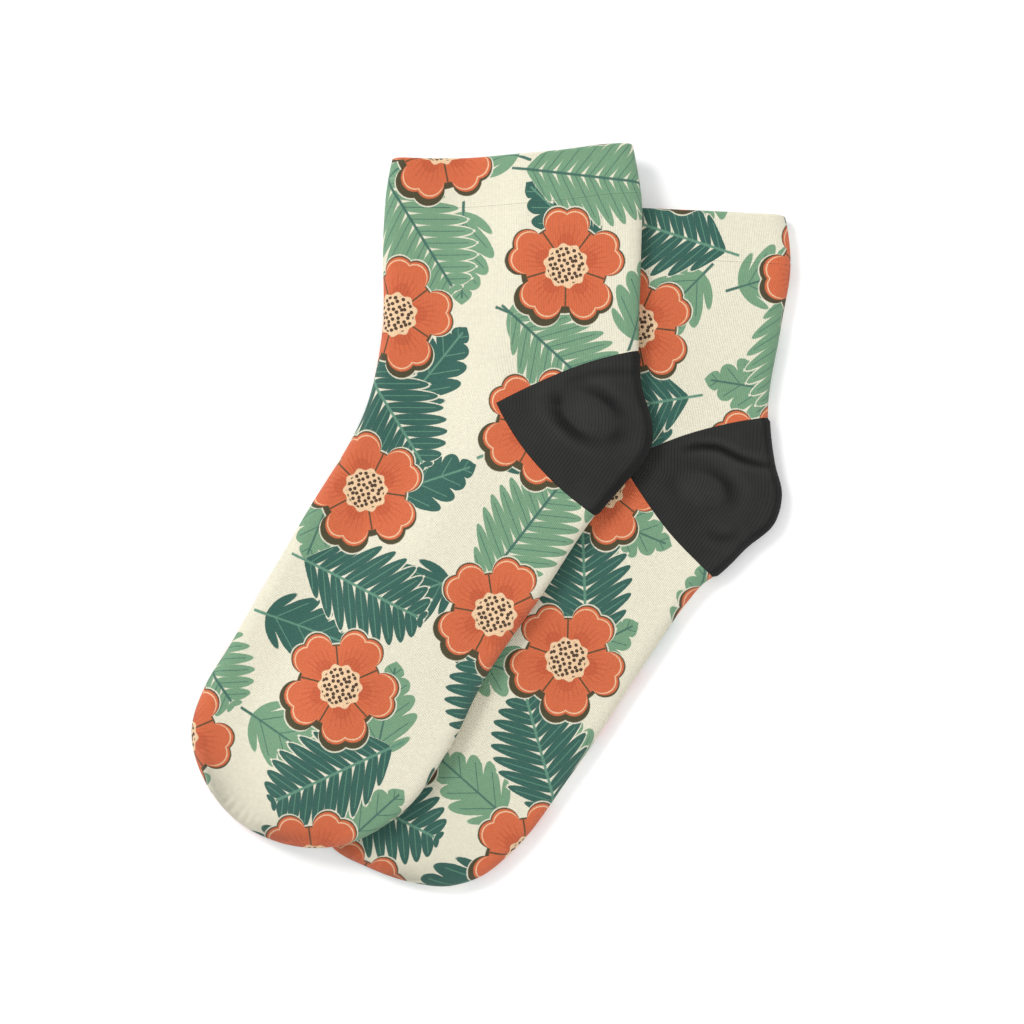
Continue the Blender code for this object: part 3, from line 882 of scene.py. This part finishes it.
def heelRelief(sock, points):
    cx, cy, long, wide, lean = sock["pucker"]
    c, s = math.cos(lean), math.sin(lean)
    x, y = points[:, 0] - cx, points[:, 1] - cy
    u, v = (x * c + y * s) / long, (y * c - x * s) / wide
    reach = np.hypot(u, v)
    facing = np.degrees(np.arctan2(v, u))
    press = np.zeros(len(points))
    for angle, spread, strength in sock["pressed"]:
        off = (facing - angle + 180) % 360 - 180
        press = np.maximum(press, strength * np.exp(-((off / spread) ** 2)))
    fromRim = (reach - 1) * wide
    width = np.where(fromRim < 0, heel["steep"], heel["gentle"])
    relief = heel["bump"] * np.clip(1 - reach**2, 0, 1)
    relief -= heel["press"] * press * np.exp(-((fromRim / width) ** 2))
    rise, outward, soft = heel["collar"]
    relief += rise * press * np.exp(-(((fromRim - outward) / soft) ** 2))
    for path, depth, wide in sock["creases"]:
        away, place = nearestOn(curveThrough(path, heel["creaseSteps"]), points)[:2]
        deep = depth * np.sin(np.clip(place, 0.02, 0.98) * math.pi) ** 0.5
        relief -= deep * np.exp(-((away / wide) ** 2))
        relief += heel["bank"] * deep * np.exp(-(((away - wide * 2.2) / (wide * 1.3)) ** 2))
    return relief


def heelGrid(sock):
    # a fan from the heel tip: first row on the leg's edge, last on the foot's
    columns = len(sock["legEnd"]) - tipColumn
    fine = np.linspace(0, columns - 1, (columns - 1) * heel["finer"] + 1)
    leg, foot = [np.column_stack([np.interp(fine, np.arange(columns), part) for part in row[tipColumn:].T])
                 for row in (sock["legEnd"], sock["footStart"])]
    reach = np.linalg.norm(leg - leg[0], axis=1) / np.linalg.norm(leg[-1] - leg[0])
    spread = np.maximum(np.linalg.norm(foot - leg, axis=1), 1e-6)
    inset = np.minimum(cloth["gap"] * heel["seam"] / spread, 0.3)
    rows = []
    for k in range(heel["rows"] + 1):
        turn = inset + (1 - 2 * inset) * k / heel["rows"]
        at = sock["heelTopAt"] + turn * (sock["heelLowAt"] - sock["heelTopAt"])
        ends = (1 - turn)[:, None] * leg[-1] + turn[:, None] * foot[-1]
        swing = alongLine(sock["side"], at) - ends
        rows.append((1 - turn)[:, None] * leg + turn[:, None] * foot + reach[:, None] * swing)
    grid = np.array(rows)
    # the fan's tip stands off the corner where leg and foot meet
    ahead = (leg[9] + foot[9]) / 2 - leg[0]
    grid[:, 0] += cloth["gap"] * heel["tipSeam"] * ahead / np.linalg.norm(ahead)
    return grid


def makeHeel(sock, black):
    knit = Knit()
    grid = heelGrid(sock)
    rows, columns = grid.shape[:2]
    flat = grid.reshape(-1, 2)
    away, unused, out = nearestOn(sock["side"], flat)
    edge = np.minimum(np.arange(rows), np.arange(rows)[::-1])[:, None] / rows
    inward = (edge * np.linalg.norm(grid[-1] - grid[0], axis=1)).reshape(-1)
    deep, wide, soft = heel["band"]
    dents = heelRelief(sock, flat) - deep * ease((wide - away) / soft)
    high, soft = heel["lip"]
    relief = (dents + high * ease(inward / soft)) * foldShare(away)
    # ribs swing round from leg to foot about the heel tip; the third number is the dents' depth,
    # deeper still along the fold, which the heel's colour shows as painted shade and light
    x, y = np.moveaxis(printPlace(sock, flat).reshape(grid.shape) - grid[0, 0], -1, 0)
    swing = ease((np.arange(rows) / rows - 0.25) * 2)[:, None]
    legX, legY, footX, footY = [part for turn in sock["ribTurns"] for part in turned(x, y, turn)]
    # painted shade along the fold, added to the dents
    dark, wide, soft = heel["foldShade"]
    pressed = dents - dark * ease((wide - away) / soft)
    knitAt = np.stack([legX * (1 - swing) + footX * swing, legY * (1 - swing) + footY * swing,
                       pressed.reshape(rows, columns)], axis=-1)
    far, start, soft = heel["proud"]
    proud = far * ease(start - away / cloth["fold"]) * ease(inward / soft)
    knit.addLayers(sock, grid, knitAt, relief, flat + out * proud[:, None])
    piece = knit.build(sock["name"] + "Heel", [black])
    thicken(piece, 0)
    return piece


# the doubled cuff

cuff = {
    "deep": 19.0, "band": 2.2,       # from the mouth to the leg, and how thick it is doubled
    "gap": 0.03,
    "seamAt": 17.8, "seamDeep": 0.11, "seamWide": 0.6,   # the line of stitches that holds it
    "closeFrom": 16.5,               # rows lie closer together from here to the leg
    "rows": (9, 13, 11, 14),         # by the seam, above it, round the edge, inside
    "feel": 0.3,                     # how far off a row's slope is felt for
}


def makeCuff(sock, printed, liner):
    # down the outside, round the top edge and back inside
    deep, half = cuff["deep"] - cuff["gap"] / 2, cuff["band"] / 2
    bySeam, above, overEdge, inside = cuff["rows"]
    outer = np.concatenate([np.linspace(deep, cuff["closeFrom"], bySeam),
                            np.linspace(cuff["closeFrom"], half, above)[1:]])
    bend = np.linspace(0, math.pi, overEdge)[1:-1]
    inner = np.linspace(half, deep, inside)
    stitched = cuff["seamDeep"] * np.exp(-(((outer - cuff["seamAt"]) / cuff["seamWide"]) ** 2))
    depths = np.concatenate([outer, half - half * np.sin(bend), inner])
    insets = np.concatenate([stitched, half - half * np.cos(bend),
                             np.full(len(inner), cuff["band"])])
    turnedIn = np.arange(len(depths)) >= len(outer) + len(bend) // 2
    reach = np.concatenate([-outer, -half + half * bend, -half + half * math.pi + inner - half])

    def ringAt(depth):
        row = cuffRow(sock, depth)
        upper, lower = layerHeights(sock, row)
        low = np.column_stack([row, lower])[1:-1][::-1]
        return np.vstack([np.column_stack([row, upper]), low])

    across = np.concatenate([acrossAt, acrossAt[1:-1][::-1]])
    side = np.where(np.arange(len(across)) < len(acrossAt), 1.0, -1.0)
    points, printAt, knitAt = [], [], []
    for depth, inset, far in zip(depths, insets, reach):
        ring = ringAt(depth)
        down = ringAt(depth + cuff["feel"]) - ringAt(max(depth - cuff["feel"], 0.0))
        around = np.roll(ring, -1, axis=0) - np.roll(ring, 1, axis=0)
        normal = np.cross(down, around)
        normal /= np.linalg.norm(normal, axis=1)[:, None]
        points.append(ring - normal * inset)
        place = printPlace(sock, ring[:, :2]) + np.array([0.0, max(0.0, far + half)])
        printAt.append(np.column_stack([place, side]))
        knitAt.append(np.column_stack([across, np.full(len(ring), -far), np.zeros(len(ring))]))
    for layer in (points, printAt, knitAt):
        layer.append(layer[0])
    knit = Knit()
    knit.addGrid(np.array(points), np.array(printAt), np.array(knitAt), ring=True, flip=True,
                 liner=np.append(turnedIn[1:], True))
    return knit.build(sock["name"] + "Cuff", [printed, liner])


# the pair

layOut(backSock, None)
under = backSock["side"]
beyond = np.array([0.0, cloth["runOn"]])
layOut(frontSock, np.vstack([under[0] + beyond, under, under[-1] + beyond]))
centre = np.array(cloth["middle"]) * mm

thread = seamThread()
for sock in (backSock, frontSock):
    printed, liner, black = printedKnit(sock), liningKnit(sock), heelKnit(sock)
    print(sock["name"], "print mixed,", len(printed.node_tree.nodes), "nodes")
    made = ((makeTube(sock, printed, liner), "body", "printed_knit"),
            (makeCuff(sock, printed, liner), "cuff", "cuff_knit"),
            (makeHeel(sock, black), "heel", "heel_knit"))
    for piece, node, slot in made:
        piece.location = (-centre[0], -centre[1], 0)
        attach(piece, "root")
        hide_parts(sock["name"] + "_sock_" + node)
        print(piece.name, "knitted,", len(piece.data.polygons), "faces")
    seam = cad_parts[sock["name"] + "_sock_toe_seam"]
    seam.data.materials.clear()
    seam.data.materials.append(thread)


# table, light and camera

studio = {
    "floor": 4.0, "white": 0.95, "glow": 0.10,     # a table that stays white under the sky
    "sky": 0.90,
    "drop": 0.05,                    # the table lies this much under the socks, mm
    "lamp": (-0.80, 0.70, 1.15), "lampWide": 0.5, "lampPower": 10.5,     # metres and watts
    "aim": (7.875, 1.5),             # middle of the view, mm on the table
    "viewWide": 384.0, "viewLevel": 6,       # the view is this wide at this height, mm
    "lens": 100, "sensor": 36, "farthest": 20,
}


def paleFloor():
    mesh = bpy.data.meshes.new("floor")
    far = studio["floor"]
    mesh.from_pydata([(-far, -far, 0), (far, -far, 0), (far, far, 0), (-far, far, 0)], [], [(0, 1, 2, 3)])
    floor = bpy.data.objects.new("floor", mesh)
    floor.location.z = -studio["drop"] * mm
    bpy.context.scene.collection.objects.link(floor)
    material, tree, shader = newMaterial("paleFloor")
    shader.inputs["Base Color"].default_value = (*[studio["white"]] * 3, 1)
    shader.inputs["Roughness"].default_value = 0.9
    shader.inputs["Specular IOR Level"].default_value = 0.0
    shader.inputs["Emission Color"].default_value = (1, 1, 1, 1)
    shader.inputs["Emission Strength"].default_value = studio["glow"]
    mesh.materials.append(material)
    return floor


def softLight():
    data = bpy.data.lights.new("window", "AREA")
    data.shape = "DISK"
    data.size = studio["lampWide"]
    data.energy = studio["lampPower"]
    light = bpy.data.objects.new("window", data)
    light.location = studio["lamp"]
    light.rotation_euler = (-light.location).to_track_quat("-Z", "Y").to_euler()
    bpy.context.scene.collection.objects.link(light)


def lookDown():
    lens = bpy.data.cameras.new("camera")
    lens.lens = studio["lens"]
    lens.sensor_width = studio["sensor"]
    lens.clip_end = studio["farthest"]
    camera = bpy.data.objects.new("camera", lens)
    high = studio["viewWide"] * studio["lens"] / studio["sensor"] + studio["viewLevel"]
    aim = np.array(studio["aim"]) * mm - centre
    camera.location = (aim[0], aim[1], high * mm)
    bpy.context.scene.collection.objects.link(camera)
    bpy.context.scene.camera = camera


paleFloor()
softLight()
lookDown()
world = bpy.data.worlds.new("studio")
bpy.context.scene.world = world
world.use_nodes = True
world.node_tree.nodes["Background"].inputs[0].default_value = (1, 1, 1, 1)
world.node_tree.nodes["Background"].inputs[1].default_value = studio["sky"]
bpy.context.scene.view_settings.view_transform = "Standard"
bpy.context.scene.view_settings.look = "None"
print("table, window and camera placed")

bpy.context.view_layer.update()
